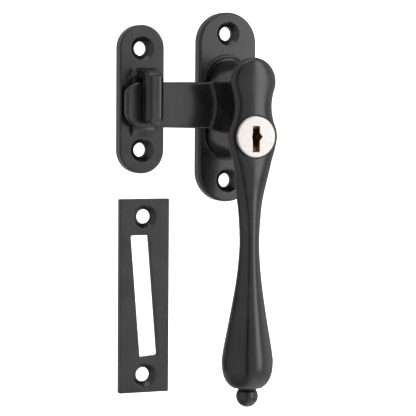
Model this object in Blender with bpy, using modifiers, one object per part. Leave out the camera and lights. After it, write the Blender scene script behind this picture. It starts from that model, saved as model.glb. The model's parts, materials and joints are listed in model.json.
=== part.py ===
# Locking casement window fastener with a hook keep and a mortice keep.
#
# The back plate screws to the opening window. A waisted drum turns on it: the drum carries the
# pear-ended handle in front and the flat tongue at its left. The hook keep and the mortice keep
# are alternatives that screw to the fixed frame. A key lock in the drum's lower lobe drives a bolt
# into the back plate, so that the handle can't turn.
#
# X is to the right, Z is up, and the window is behind the plane Y = 0. The origin is where the
# spindle's axis meets that plane. "Out" is the distance in front of the plane, so Y = -out.

import bmesh
import bpy
from math import asin, atan2, cos, pi, radians, sin, sqrt
from mathutils import Matrix, Vector

mm = 0.001

# Gaps
seat_gap = 0.3 * mm  # between faces that touch
turn_gap = 0.15 * mm  # round a spindle or a pin
slide_gap = 0.5 * mm  # on each side of the tongue in the hook
weld = 0.001 * mm

# Countersunk screw holes, the same in all three plates
screw_bore = 5.2 * mm
screw_head = 8.5 * mm

# Back plate, with its raised pad and the pad's lip
plate_length = 70.0 * mm
plate_width = 22.6 * mm
plate_thick = 4.5 * mm
plate_edge = 0.8 * mm
plate_screw_spacing = 54.2 * mm
pad_length = 38.7 * mm
pad_width = 19.6 * mm
pad_rise = 0.8 * mm
lip_rise = 0.4 * mm
lip_width = 1.1 * mm
lip_edge = 0.35 * mm

# Drum and head outline: two lobes joined by hollow waist arcs
lobe_rise = 9.4 * mm
lobe_radius = 8.7 * mm
lock_drop = 10.2 * mm
lock_lobe_radius = 9.5 * mm
waist_arc = 18.0 * mm
head_overhang = 0.8 * mm
drum_top_out = 26.9 * mm

# Tongue
tongue_reach = 41.6 * mm
tongue_thick = 3.0 * mm
tongue_back_out = 7.1 * mm
tongue_above = 9.0 * mm
tongue_below = 7.1 * mm
tongue_flare = 0.5 * mm
tongue_corner_wide = 5.2 * mm
tongue_corner_above = 4.6 * mm
tongue_corner_below = 5.6 * mm
tongue_edge = 1.0 * mm

# Handle: a crowned slab at the head, a round grip, a pear and a ball
head_back = 1.1 * mm
head_front = 2.7 * mm
grip_radius = 3.6 * mm
grip_drop = 48.0 * mm
grip_out = 26.0 * mm
pear_radius = 9.35 * mm
pear_drop = 91.0 * mm
pear_out = 25.0 * mm
pear_end = 11.45 * mm
pear_power = 2.6
ball_radius = 4.0 * mm
ball_neck = 3.2 * mm
ball_sunk = 0.4 * mm

# Spindle and what holds it behind the back plate
spindle_square = 4.8 * mm
spindle_radius = 3.0 * mm
spindle_foot_out = 8.0 * mm
socket_depth = 2.2 * mm
thrust_radius = 5.6 * mm
thrust_thick = 1.15 * mm
recess_radius = 5.6 * mm
recess_depth = 2.6 * mm
ring_thick = 0.5 * mm
ring_radius = 5.0 * mm
circlip_radius = 4.6 * mm
groove_radius = 2.3 * mm

# Lock
face_radius = 7.5 * mm
face_thick = 2.1 * mm
face_out = 31.6 * mm
face_edge = 0.4 * mm
keyhole_half = 1.3 * mm
keyhole_above = 3.8 * mm
keyhole_below = 5.4 * mm
keyhole_bulge_right = 2.4 * mm
keyhole_bulge_left = 1.6 * mm
keyhole_bulge_tall = 1.4 * mm
keyway_above = 3.0 * mm
keyway_below = 4.1 * mm
plug_radius = 5.5 * mm
plug_length = 9.5 * mm
plug_gap = 0.25 * mm
barrel_radius = 6.9 * mm
tail_radius = 1.6 * mm
clip_thick = 0.4 * mm
bolt_radius = 3.2 * mm
bolt_wall = 1.3 * mm
bolt_travel = 3.4 * mm
bolt_turn = radians(90)
bolt_key = 1.2 * mm
pin_radius = 0.5 * mm
pin_slot_spare = 0.45 * mm
grub_radius = 1.5 * mm
grub_length = 2.2 * mm

# Wafers and their springs
wafer_count = 4
wafer_pitch = 2.1 * mm
wafer_thick = 0.9 * mm
wafer_half = 2.9 * mm
wafer_lift = 0.6 * mm
wafer_gap = 0.2 * mm
window_half = 1.6 * mm
window_tall = 3.5 * mm
lug_reach = 1.3 * mm
lug_tall = 0.9 * mm
spring_radius = 0.42 * mm
spring_wire = 0.11 * mm
spring_turns = 4
spring_pocket = 2.6 * mm

# Hook keep
keep_length = 54.0 * mm
keep_width = 17.0 * mm
keep_thick = 4.5 * mm
keep_edge = 0.7 * mm
keep_screw_spacing = 36.8 * mm
keep_left = 33.6 * mm
keep_rise = 2.8 * mm
finger_wide = 6.5 * mm
finger_deep = 6.7 * mm
finger_edge = 1.8 * mm
finger_bend = 3.4 * mm
finger_end = 2.4 * mm
finger_below = 6.1 * mm
finger_offset = 0.75 * mm
web_tall = 3.7 * mm
web_cove = 3.0 * mm
web_inset = 0.6 * mm
ramp_wide = 8.5 * mm
ramp_lead = 2.3 * mm
ramp_past = 1.5 * mm

# Mortice keep
mortice_length = 71.4 * mm
mortice_width = 19.1 * mm
mortice_thick = 2.5 * mm
mortice_edge = 0.2 * mm
mortice_screw_spacing = 58.4 * mm
mortice_left = 31.6 * mm
mortice_drop = 69.3 * mm
slot_wide = 7.1 * mm
slot_tall = 44.8 * mm
slot_lean = radians(4.7)
slot_corner = 0.6 * mm

# Places that follow from the sizes above
pad_out = plate_thick + pad_rise
lip_out = pad_out + lip_rise
drum_base_out = lip_out + seat_gap
tongue_front_out = tongue_back_out + tongue_thick
head_back_out = drum_top_out + seat_gap
head_mid_out = head_back_out + head_back
face_back_out = face_out - face_thick
barrel_front_out = face_back_out - seat_gap
barrel_back_out = barrel_front_out - plug_length
clip_out = barrel_back_out - seat_gap
barrel_seat_out = clip_out - clip_thick - seat_gap
bolt_front_out = barrel_seat_out - seat_gap
bolt_tip_out = drum_base_out + seat_gap
bolt_bore_radius = bolt_radius - bolt_wall
pin_slot_half = pin_radius + pin_slot_spare
pin_out = bolt_front_out - 0.8 * mm - pin_slot_half - bolt_travel
tail_end_out = pin_out - 1.6 * mm
barrel_bore = plug_radius + plug_gap
lock_bore = barrel_radius + seat_gap
face_bore = face_radius + seat_gap
socket_half = spindle_square / 2 + seat_gap
spindle_front_out = head_back_out + socket_depth - seat_gap
bottom = -(pear_drop + pear_end)

round_steps = 48
small_steps = 24


def clear_scene():
    for old in list(bpy.data.objects):
        bpy.data.objects.remove(old)


clear_scene()
parts = bpy.data.collections.new("casement_fastener")
cutters = bpy.data.collections.new("cutters")
bpy.context.scene.collection.children.link(parts)
bpy.context.scene.collection.children.link(cutters)


def make_material(name, colour, roughness, metallic):
    material = bpy.data.materials.new(name)
    material.use_nodes = True
    shader = material.node_tree.nodes["Principled BSDF"]
    shader.inputs["Base Color"].default_value = (*colour, 1.0)
    shader.inputs["Roughness"].default_value = roughness
    shader.inputs["Metallic"].default_value = metallic
    return material


black = make_material("black_powder_coat", (0.018, 0.017, 0.018), 0.32, 0.0)
nickel = make_material("satin_nickel", (0.66, 0.64, 0.60), 0.30, 1.0)
brass = make_material("brass", (0.76, 0.55, 0.25), 0.35, 1.0)
steel = make_material("zinc_steel", (0.55, 0.56, 0.58), 0.35, 1.0)
spring_steel = make_material("spring_steel", (0.42, 0.42, 0.43), 0.30, 1.0)
bronze = make_material("bronze", (0.60, 0.42, 0.24), 0.40, 1.0)


# ---- ways of making a solid ----


def add_object(name, mesh, material, matrix=None):
    """A new object: a part where it has a material, and a hidden cutter where it has none."""
    thing = bpy.data.objects.new(name, mesh)
    if matrix is not None:
        thing.matrix_world = matrix
    if material is None:
        cutters.objects.link(thing)
        thing.hide_render = True
        thing.display_type = "WIRE"
    else:
        parts.objects.link(thing)
        mesh.materials.append(material)
        mesh.shade_smooth()
        mesh.set_sharp_from_angle(angle=radians(35))
    return thing


def lay_out(x=0.0, out=0.0, z=0.0):
    """The place of a shape drawn in its own X and Y: its Y becomes up, and its Z points out."""
    return Matrix.Translation((x, -out, z)) @ Matrix.Rotation(radians(90), 4, "X")


def flat_solid(name, material, loops, out, thick, x=0.0, z=0.0, matrix=None, dissolve=True):
    """A filled outline, with any further loops as holes, from out to out + thick."""
    curve = bpy.data.curves.new(name, "CURVE")
    curve.dimensions = "2D"
    curve.fill_mode = "BOTH"
    curve.extrude = thick / 2
    for loop in loops:
        spline = curve.splines.new("POLY")
        spline.points.add(len(loop) - 1)
        for point, (u, v) in zip(spline.points, loop):
            point.co = (u, v, 0.0, 1.0)
        spline.use_cyclic_u = True
    drawn = bpy.data.objects.new(name + "_outline", curve)
    bpy.context.scene.collection.objects.link(drawn)
    drawn.matrix_world = lay_out(x, out + thick / 2, z) if matrix is None else matrix
    bpy.context.view_layer.update()
    matrix = drawn.matrix_world.copy()
    mesh = bpy.data.meshes.new_from_object(drawn.evaluated_get(bpy.context.evaluated_depsgraph_get()))
    bpy.data.objects.remove(drawn)
    body = bmesh.new()
    body.from_mesh(mesh)
    bmesh.ops.remove_doubles(body, verts=body.verts, dist=weld)
    if dissolve and len(loops) == 1:
        bmesh.ops.dissolve_limit(body, angle_limit=radians(0.3), verts=body.verts, edges=body.edges)
    bmesh.ops.recalc_face_normals(body, faces=body.faces)
    body.to_mesh(mesh)
    body.free()
    mesh.materials.clear()
    return add_object(name, mesh, material, matrix)


def turned_solid(name, material, profile, steps=round_steps, x=0.0, z=0.0, matrix=None):
    """A profile of (radius, out) pairs, highest out first, turned about the axis through x, z."""
    mesh = bpy.data.meshes.new(name)
    mesh.from_pydata([(r, 0.0, out) for r, out in profile], [(i, i + 1) for i in range(len(profile) - 1)], [])
    thing = add_object(name, mesh, material, lay_out(x, 0.0, z) if matrix is None else matrix)
    screw = thing.modifiers.new("turn", "SCREW")
    screw.axis = "Z"
    screw.steps = steps
    screw.render_steps = steps
    screw.use_merge_vertices = True
    screw.merge_threshold = weld
    screw.use_smooth_shade = True
    return thing


def rod(name, material, radius, low, high, steps=round_steps, x=0.0, z=0.0, matrix=None):
    profile = [(0.0, high), (radius, high), (radius, low), (0.0, low)]
    return turned_solid(name, material, profile, steps, x, z, matrix)


def ring(name, material, inner, outer, low, high, steps=round_steps, x=0.0, z=0.0):
    profile = [(inner, high), (outer, high), (outer, low), (inner, low), (inner, high)]
    return turned_solid(name, material, profile, steps, x, z)


def block(name, material, xs, outs, zs):
    """A box between two values of x, of out and of z."""
    body = bmesh.new()
    bmesh.ops.create_cube(body, size=1.0)
    size = (xs[1] - xs[0], outs[1] - outs[0], zs[1] - zs[0])
    bmesh.ops.scale(body, vec=size, verts=body.verts)
    middle = (sum(xs) / 2, -sum(outs) / 2, sum(zs) / 2)
    bmesh.ops.translate(body, vec=middle, verts=body.verts)
    mesh = bpy.data.meshes.new(name)
    body.to_mesh(mesh)
    body.free()
    return add_object(name, mesh, material)


def combine(thing, tool, operation="DIFFERENCE"):
    boolean = thing.modifiers.new(tool.name, "BOOLEAN")
    boolean.operation = operation
    boolean.object = tool
    boolean.solver = "EXACT"


def cut(thing, *tools):
    for tool in tools:
        combine(thing, tool)


def join(thing, *tools):
    for tool in tools:
        combine(thing, tool, "UNION")


def round_edges(thing, width, segments, chosen):
    """A Bevel on the edges for which chosen(first end, second end) holds, in the object's own space."""
    mesh = thing.data
    weights = mesh.attributes.new("bevel_weight_edge", "FLOAT", "EDGE")
    for edge in mesh.edges:
        a, b = (mesh.vertices[i].co for i in edge.vertices)
        weights.data[edge.index].value = 1.0 if chosen(a, b) else 0.0
    bevel = thing.modifiers.new("edge", "BEVEL")
    bevel.limit_method = "WEIGHT"
    bevel.width = width
    bevel.segments = segments
    return bevel


def round_front(thing, width, segments):
    """Rounds the rim of a flat solid's front face."""
    front = max(vertex.co.z for vertex in thing.data.vertices)
    round_edges(thing, width, segments, lambda a, b: min(a.z, b.z) > front - weld)


# ---- outlines, as lists of points that run anticlockwise ----


def arc(u, v, radius, start, end, steps):
    """Points of an arc from angle start to angle end, both included."""
    angles = [start + (end - start) * i / steps for i in range(steps + 1)]
    return [(u + radius * cos(a), v + radius * sin(a)) for a in angles]


def stadium(length, width, steps=16):
    radius = width / 2
    straight = length / 2 - radius
    return arc(0, straight, radius, 0, pi, steps) + arc(0, -straight, radius, pi, 2 * pi, steps)


def rounded_polygon(corners, radius, steps=3):
    """Each corner of a convex polygon replaced by an arc that touches both of its sides."""
    points = []
    for i, corner in enumerate(corners):
        here = Vector(corner)
        before = (Vector(corners[i - 1]) - here).normalized()
        after = (Vector(corners[(i + 1) % len(corners)]) - here).normalized()
        half = before.angle(after) / 2
        middle = here + (before + after).normalized() * radius / sin(half)
        first = here + before * radius / sin(half) * cos(half) - middle
        last = here + after * radius / sin(half) * cos(half) - middle
        start = atan2(first.y, first.x)
        turn = (atan2(last.y, last.x) - start) % (2 * pi)
        points += arc(middle.x, middle.y, radius, start, start + turn, steps)
    return points


def rectangle(wide, tall):
    return [(wide / 2, -tall / 2), (wide / 2, tall / 2), (-wide / 2, tall / 2), (-wide / 2, -tall / 2)]


def waist_centre():
    """The centre of the right waist arc, which touches both lobes from outside."""
    upper = lobe_radius + waist_arc
    lower = lock_lobe_radius + waist_arc
    apart = lobe_rise + lock_drop
    # The distance below the upper lobe's centre at which the two circles of centres cross
    below = (upper**2 - lower**2 + apart**2) / (2 * apart)
    return sqrt(upper**2 - below**2), lobe_rise - below


def waisted_outline(inset, lobe_steps=18, waist_steps=10):
    """The head's outline moved inwards: upper lobe, left waist, lower lobe, right waist."""
    across, height = waist_centre()
    top_turn = atan2(height - lobe_rise, across)
    low_turn = atan2(height + lock_drop, across)
    top = arc(0, lobe_rise, lobe_radius - inset, top_turn, pi - top_turn, lobe_steps)
    low = arc(0, -lock_drop, lock_lobe_radius - inset, pi - low_turn, 2 * pi + low_turn, lobe_steps)
    left = arc(-across, height, waist_arc + inset, -top_turn, -low_turn, waist_steps)[1:-1]
    right = arc(across, height, waist_arc + inset, pi + low_turn, pi + top_turn, waist_steps)[1:-1]
    return top + left + low + right


# ---- back plate ----


def screw_cutter(name, thick, x, z):
    """A countersunk hole for a plate of this thickness, with the head's seat at the front."""
    depth = (screw_head - screw_bore) / 2
    past = 1.0 * mm
    profile = [
        (0.0, thick + past),
        (screw_head / 2 + past, thick + past),
        (screw_bore / 2, thick - depth),
        (screw_bore / 2, -past),
        (0.0, -past),
    ]
    return turned_solid(name, None, profile, 32, x, z)


def make_backplate():
    plate = flat_solid("backplate", black, [stadium(plate_length, plate_width)], 0.0, plate_thick)
    round_front(plate, plate_edge, 3)
    sunk = plate_thick / 2
    pad = flat_solid("pad", None, [stadium(pad_length, pad_width)], sunk, lip_out - sunk)
    round_front(pad, lip_edge, 2)
    inside = stadium(pad_length - 2 * lip_width, pad_width - 2 * lip_width)
    floor = flat_solid("pad_floor", None, [inside], pad_out, lip_rise + seat_gap)
    bore = rod("spindle_bore", None, spindle_radius + turn_gap, -1 * mm, lip_out + 1 * mm)
    recess = rod("rear_recess", None, recess_radius, -1 * mm, recess_depth)
    bolt_floor = bolt_tip_out - bolt_travel - seat_gap
    bolt_hole = rod(
        "bolt_hole", None, bolt_radius + seat_gap, bolt_floor, lip_out + 1 * mm, 32, 0.0, -lock_drop
    )
    join(plate, pad)
    cut(plate, floor, bore, recess, bolt_hole)
    for place, side in (("top", 1), ("bottom", -1)):
        height = side * plate_screw_spacing / 2
        cut(plate, screw_cutter("plate_screw_" + place, plate_thick, 0.0, height))
    return plate


# ---- drum and tongue ----


def tongue_outline():
    """The flat bar from inside the drum to its tip, a little deeper where it leaves the drum."""
    root = -lobe_radius / 2
    middle = tongue_corner_wide - tongue_reach
    wide, above, below = tongue_corner_wide, tongue_corner_above, tongue_corner_below
    turns = [pi / 2 + pi / 2 * i / 7 for i in range(8)]
    top = [(middle + wide * cos(a), tongue_above - above + above * sin(a)) for a in turns]
    low = [(middle + wide * cos(a), below - tongue_below - below * sin(a)) for a in reversed(turns)]
    start = (root, tongue_above + tongue_flare / 2)
    end = (root, -tongue_below - tongue_flare)
    return [start] + top + low + [end]


def make_drum():
    deep = drum_top_out - drum_base_out
    drum = flat_solid("drum", black, [waisted_outline(head_overhang)], drum_base_out, deep)
    tongue = flat_solid("tongue", None, [tongue_outline()], tongue_back_out, tongue_thick)
    near_drum = -lobe_radius / 2 - weld
    half = tongue_thick / 2 - weld
    round_edges(
        tongue, tongue_edge, 3, lambda a, b: abs(a.z) > half and abs(b.z) > half and a.z * b.z > 0
        and min(a.x, b.x) < near_drum
    )
    join(drum, tongue)
    across = (-socket_half, socket_half)
    cut(
        drum,
        block("drum_square", None, across, (0.0, drum_top_out + 1 * mm), across),
        rod("spindle_relief", None, spindle_radius + turn_gap, 0.0, spindle_foot_out + seat_gap),
        rod("thrust_seat", None, thrust_radius + seat_gap, 0.0, pad_out + 2 * seat_gap + thrust_thick),
        rod("lock_bore", None, lock_bore, barrel_seat_out, drum_top_out + 1 * mm, 48, 0.0, -lock_drop),
        rod("bolt_bore", None, bolt_radius + seat_gap, 0.0, barrel_seat_out + 1 * mm, 32, 0.0, -lock_drop),
        bolt_keyway(),
        grub_hole(lock_lobe_radius + 1 * mm, grub_radius + seat_gap, "grub_hole"),
    )
    return drum


def bolt_keyway():
    """The groove that the bolt's key slides in, below the bolt."""
    half = bolt_key / 2 + seat_gap
    low = -lock_drop - bolt_radius - bolt_key - seat_gap
    key_end = bolt_front_out - 5 * mm - bolt_travel - seat_gap
    outs = (key_end, barrel_seat_out + 1 * mm)
    return block("bolt_keyway", None, (-half, half), outs, (low, -lock_drop))


# ---- handle ----


def smooth_step(value, low, high):
    share = min(1.0, max(0.0, (value - low) / (high - low)))
    return share * share * (3 - 2 * share)


def through_points(stations, where):
    """A smooth curve through (place, size) stations in rising order of place."""
    places = [p for p, _ in stations]
    sizes = [s for _, s in stations]
    i = max(0, min(len(places) - 2, sum(p <= where for p in places) - 1))

    def slope(k):
        a, b = max(0, k - 1), min(len(places) - 1, k + 1)
        return (sizes[b] - sizes[a]) / (places[b] - places[a])

    span = places[i + 1] - places[i]
    t = (where - places[i]) / span
    return (
        (2 * t**3 - 3 * t**2 + 1) * sizes[i]
        + (t**3 - 2 * t**2 + t) * span * slope(i)
        + (3 * t**2 - 2 * t**3) * sizes[i + 1]
        + (t**3 - t**2) * span * slope(i + 1)
    )


def head_half_width(z):
    """Half the head's width at a height, on the lobes or on the waist between them."""
    across, height = waist_centre()
    touch_top = lobe_rise + (height - lobe_rise) * lobe_radius / (lobe_radius + waist_arc)
    touch_low = -lock_drop + (height + lock_drop) * lock_lobe_radius / (lock_lobe_radius + waist_arc)
    if z > touch_top:
        return sqrt(max(0.0, lobe_radius**2 - (z - lobe_rise) ** 2))
    if z > touch_low:
        return across - sqrt(waist_arc**2 - (z - height) ** 2)
    return sqrt(max(0.0, lock_lobe_radius**2 - (z + lock_drop) ** 2))


def half_width(z):
    """Half the handle's width at a height, from the head's top down to the pear's end."""
    leave = -lock_drop - 0.12 * lock_lobe_radius
    if z >= leave:
        return head_half_width(z)
    if z < -pear_drop:
        below = min(1.0, (-pear_drop - z) / pear_end)
        return pear_radius * (1 - below**pear_power) ** (1 / pear_power)
    to_grip = grip_drop + leave
    to_pear = pear_drop - grip_drop
    start = head_half_width(leave)
    fall = start - grip_radius
    swell = pear_radius - grip_radius
    stations = [
        (-pear_drop, pear_radius),
        (-pear_drop + 0.10 * to_pear, grip_radius + 0.89 * swell),
        (-pear_drop + 0.30 * to_pear, grip_radius + 0.62 * swell),
        (-pear_drop + 0.60 * to_pear, grip_radius + 0.25 * swell),
        (-pear_drop + 0.80 * to_pear, grip_radius + 0.075 * swell),
        (-grip_drop, grip_radius),
        (leave - 0.70 * to_grip, grip_radius + 0.12 * fall),
        (leave - 0.46 * to_grip, grip_radius + 0.352 * fall),
        (leave - 0.23 * to_grip, grip_radius + 0.62 * fall),
        (leave - 0.10 * to_grip, grip_radius + 0.86 * fall),
        (leave, start),
    ]
    return through_points(stations, z)


def handle_section(z, steps=32):
    """One level of the handle: a superellipse with a crowned front and, at the head, a flat back."""
    wide = half_width(z)
    drum_end = -lock_drop - lock_lobe_radius
    rounding = 1 - smooth_step(z, -grip_drop * 0.72, drum_end)
    mid = head_mid_out + (grip_out - head_mid_out) * rounding
    mid += (pear_out - grip_out) * smooth_step(-z, grip_drop, pear_drop)
    # Above the grip the section is wider than it is deep
    deep = wide if z < -grip_drop else grip_radius
    front = head_front + (deep - head_front) * rounding
    back = head_back + (deep - head_back) * rounding
    if z > lobe_rise:
        share = min(1.0, (z - lobe_rise) / lobe_radius)
        front *= (1 - share**5) ** (1 / 5)
        back *= (1 - share**12) ** (1 / 12)
    points = []
    for i in range(steps):
        angle = 2 * pi * i / steps
        c, s = cos(angle), sin(angle)
        # The back of the head is nearly square in section, and the grip is round
        power = 2.0 if s >= 0 else 7.0 - 5.0 * rounding
        size = (abs(c) ** power + abs(s) ** power) ** (-1 / power)
        points.append((wide * c * size, mid + (front if s >= 0 else back) * s * size, z))
    return points


def handle_levels():
    """Heights of the handle's sections, closer where its outline turns quickly."""
    head = [lobe_rise + lobe_radius * sin(pi / 2 * i / 9) for i in range(8, 0, -1)]
    middle = [lobe_rise - (lobe_rise + lock_drop) * i / 10 for i in range(11)]
    grip = [-lock_drop - (grip_drop - lock_drop) * i / 10 for i in range(1, 11)]
    pear = [-grip_drop - (pear_drop - grip_drop) * i / 9 for i in range(1, 10)]
    end = [-pear_drop - pear_end * sin(pi / 2 * i / 8) for i in range(1, 8)]
    return head + middle + grip + pear + end


def make_handle():
    body = bmesh.new()
    rings = [[body.verts.new((x, -out, z)) for x, out, z in handle_section(h)] for h in handle_levels()]
    for upper, lower in zip(rings, rings[1:]):
        for i in range(len(upper)):
            j = (i + 1) % len(upper)
            body.faces.new((upper[i], upper[j], lower[j], lower[i]))
    tip = body.verts.new((0.0, -head_mid_out, lobe_rise + lobe_radius))
    end = body.verts.new((0.0, -pear_out, bottom))
    for i in range(len(rings[0])):
        j = (i + 1) % len(rings[0])
        body.faces.new((tip, rings[0][j], rings[0][i]))
        body.faces.new((end, rings[-1][i], rings[-1][j]))
    bmesh.ops.recalc_face_normals(body, faces=body.faces)
    mesh = bpy.data.meshes.new("handle")
    body.to_mesh(mesh)
    body.free()
    handle = add_object("handle", mesh, black)
    ball_depth = sqrt(ball_radius**2 - ball_neck**2)
    turn_start = asin(ball_depth / ball_radius)
    profile = [(0.0, 2 * mm), (ball_neck, 2 * mm), (ball_neck, 0.0)]
    profile += [
        (ball_radius * cos(a), ball_radius * sin(a) - ball_depth)
        for a in (turn_start - (turn_start + pi / 2) * i / 12 for i in range(1, 12))
    ]
    profile.append((0.0, -ball_radius - ball_depth))
    place = Matrix.Translation((0.0, -pear_out, bottom + ball_sunk))
    join(handle, turned_solid("ball", None, profile, small_steps, matrix=place))
    across = (-socket_half, socket_half)
    high = face_out + 5 * mm
    step = barrel_front_out
    stepped = [(0.0, high), (face_bore, high), (face_bore, step)]
    stepped += [(lock_bore, step), (lock_bore, 0.0), (0.0, 0.0)]
    cut(
        handle,
        turned_solid("face_bore", None, stepped, round_steps, 0.0, -lock_drop),
        block("spindle_socket", None, across, (0.0, head_back_out + socket_depth), across),
    )
    return handle


# ---- spindle and its fastenings ----


def make_spindle():
    half = spindle_square / 2
    end = 0.3 * mm
    groove_low, groove_high = circlip_out() - 0.1 * mm, circlip_out() + ring_thick + 0.1 * mm
    profile = [
        (0.0, spindle_foot_out),
        (spindle_radius - 0.2 * mm, spindle_foot_out),
        (spindle_radius, spindle_foot_out - 0.2 * mm),
        (spindle_radius, groove_high),
        (groove_radius, groove_high),
        (groove_radius, groove_low),
        (spindle_radius, groove_low),
        (spindle_radius, end + 0.1 * mm),
        (spindle_radius - 0.1 * mm, end),
        (0.0, end),
    ]
    outs = (spindle_foot_out - 1 * mm, spindle_front_out)
    spindle = block("spindle", steel, (-half, half), outs, (-half, half))
    join(spindle, turned_solid("journal", None, profile))
    return spindle


def circlip_out():
    return 0.65 * mm


def make_washers():
    inner = spindle_radius + turn_gap
    low = pad_out + seat_gap
    ring("thrust_washer", bronze, inner, thrust_radius, low, low + thrust_thick)
    low = circlip_out() + ring_thick + turn_gap
    ring("retaining_washer", steel, inner, ring_radius, low, low + ring_thick)
    # A dished ring: its rim bears on the recess's floor, and its bore on the washer
    low += ring_thick + turn_gap
    high = recess_depth - turn_gap
    thick = 0.3 * mm
    profile = [
        (ring_radius, high),
        (ring_radius, high - thick),
        (inner, low),
        (inner, low + thick),
        (ring_radius, high),
    ]
    turned_solid("spring_washer", spring_steel, profile)
    opening = radians(50)
    outline = arc(0, 0, circlip_radius, opening, 2 * pi - opening, 24)
    outline += arc(0, 0, groove_radius + 0.1 * mm, 2 * pi - opening, opening, 20)
    flat_solid("circlip", spring_steel, [outline], circlip_out(), ring_thick)


# ---- lock ----


def keyhole_outline(above, below):
    """A slot with a pointed bulge at mid height, larger at its right than at its left."""
    half, tall = keyhole_half, keyhole_bulge_tall
    right = [(half, -below), (half, -tall), (keyhole_bulge_right, 0.0), (half, tall), (half, above)]
    left = [(-half, above), (-half, tall), (-keyhole_bulge_left, 0.0), (-half, -tall), (-half, -below)]
    return right + left


def lock_rod(name, material, radius, low, high, steps=round_steps):
    return rod(name, material, radius, low, high, steps, 0.0, -lock_drop)


def make_lock_face():
    e = face_edge
    profile = [(0.0, face_out)]
    turns = (0, pi / 6, pi / 3, pi / 2)
    profile += [(face_radius - e + e * sin(a), face_out - e + e * cos(a)) for a in turns]
    profile += [(face_radius, face_back_out), (0.0, face_back_out)]
    face = turned_solid("lock_face", nickel, profile, round_steps, 0.0, -lock_drop)
    outline = keyhole_outline(keyhole_above, keyhole_below)
    deep = face_thick + 2 * mm
    cut(face, flat_solid("keyhole", None, [outline], face_back_out - 1 * mm, deep, 0.0, -lock_drop))
    return face


def wafer_out(index):
    """The middle of a wafer's thickness."""
    return barrel_front_out - 1.5 * mm - index * wafer_pitch


def spring_axis():
    return wafer_half + lug_reach / 2 + wafer_gap / 2


def make_plug():
    profile = [
        (0.0, barrel_front_out),
        (plug_radius, barrel_front_out),
        (plug_radius, barrel_back_out),
        (tail_radius, barrel_back_out),
        (tail_radius, tail_end_out),
        (0.0, tail_end_out),
    ]
    plug = turned_solid("lock_plug", brass, profile, round_steps, 0.0, -lock_drop)
    keyway = keyhole_outline(keyway_above, keyway_below)
    low = barrel_back_out + 0.8 * mm
    cut(plug, flat_solid("keyway", None, [keyway], low, plug_length, 0.0, -lock_drop))
    half = wafer_half + wafer_gap
    thick = wafer_thick / 2 + wafer_gap
    side = wafer_half + lug_reach + wafer_gap
    pocket = spring_radius + spring_wire + 0.12 * mm
    for i in range(wafer_count):
        out = wafer_out(i)
        outs = (out - thick, out + thick)
        tall = plug_radius + 1 * mm
        zs = (-lock_drop - tall, -lock_drop + tall)
        cut(plug, block(f"wafer_slot_{i + 1}", None, (-half, half), outs, zs))
        zs = (-lock_drop - spring_pocket, -lock_drop + lug_tall + wafer_lift + wafer_gap)
        outs = (out - max(thick, pocket), out + max(thick, pocket))
        cut(plug, block(f"spring_pocket_{i + 1}", None, (half - 0.5 * mm, side), outs, zs))
    cut(plug, pin_rod("pin_hole", None, pin_radius + turn_gap, -3 * mm, 3 * mm))
    return plug


def pin_rod(name, material, radius, low, high):
    """A rod across the plug's tail, pointing up from the lock's axis."""
    place = Matrix.Translation((0.0, -pin_out, -lock_drop))
    return rod(name, material, radius, low, high, 20, matrix=place)


def wafer_outline():
    """A strip with rounded ends, level with the plug, and a lug at its right for the spring."""
    radius = plug_radius - 0.1 * mm
    turn = asin(wafer_half / radius)
    ends = arc(0, 0, radius, pi / 2 - turn, pi / 2 + turn, 6)
    foot = arc(0, 0, radius, 3 * pi / 2 - turn, 3 * pi / 2 + turn, 6)
    lug = [(wafer_half, 0.0), (wafer_half + lug_reach, 0.0)]
    lug += [(wafer_half + lug_reach, lug_tall), (wafer_half, lug_tall)]
    return ends + foot + lug


def make_wafers():
    window = rectangle(2 * window_half, 2 * window_tall)
    for i in range(wafer_count):
        low = wafer_out(i) - wafer_thick / 2
        name = f"wafer_{i + 1}"
        flat_solid(name, brass, [wafer_outline(), window], low, wafer_thick, 0.0, -lock_drop)


def make_wafer_springs():
    """Small coils that stand in the plug's pockets, under the wafers' lugs."""
    low = -lock_drop - spring_pocket + wafer_gap + spring_wire
    high = -lock_drop - wafer_gap - spring_wire
    per_turn = 8
    count = spring_turns * per_turn
    for i in range(wafer_count):
        curve = bpy.data.curves.new(f"wafer_spring_{i + 1}", "CURVE")
        curve.dimensions = "3D"
        curve.bevel_depth = spring_wire
        curve.bevel_resolution = 2
        curve.use_fill_caps = True
        spline = curve.splines.new("POLY")
        spline.points.add(count)
        for k, point in enumerate(spline.points):
            angle = 2 * pi * k / per_turn
            x = spring_axis() + spring_radius * cos(angle)
            y = -wafer_out(i) + spring_radius * sin(angle)
            point.co = (x, y, low + (high - low) * k / count, 1.0)
        coil = bpy.data.objects.new(f"wafer_spring_{i + 1}", curve)
        curve.materials.append(spring_steel)
        parts.objects.link(coil)


def groove_outline():
    """The barrel's groove for the raised wafers: the wafer's end moved up, and a little wider."""
    radius = plug_radius
    half = wafer_half + wafer_gap
    turn = asin(half / radius)
    end = arc(0, wafer_lift + wafer_gap, radius, pi / 2 - turn, pi / 2 + turn, 6)
    return end + [(-half, 0.0), (half, 0.0)]


def make_barrel():
    low, high = barrel_back_out, barrel_front_out
    barrel = ring("lock_barrel", brass, barrel_bore, barrel_radius, low, high, round_steps, 0.0, -lock_drop)
    deep = plug_length + 2 * mm
    middle = (low + high) / 2
    for name, turn in (("top", 0.0), ("right", -pi / 2)):
        place = lay_out(0.0, middle, -lock_drop) @ Matrix.Rotation(turn, 4, "Z")
        groove = flat_solid("groove_" + name, None, [groove_outline()], 0.0, deep, matrix=place)
        cut(barrel, groove)
    cut(barrel, grub_hole(barrel_radius + 1 * mm, grub_radius + 0.1 * mm, "grub_seat"))
    return barrel


def grub_out():
    return barrel_back_out + 3.2 * mm


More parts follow.
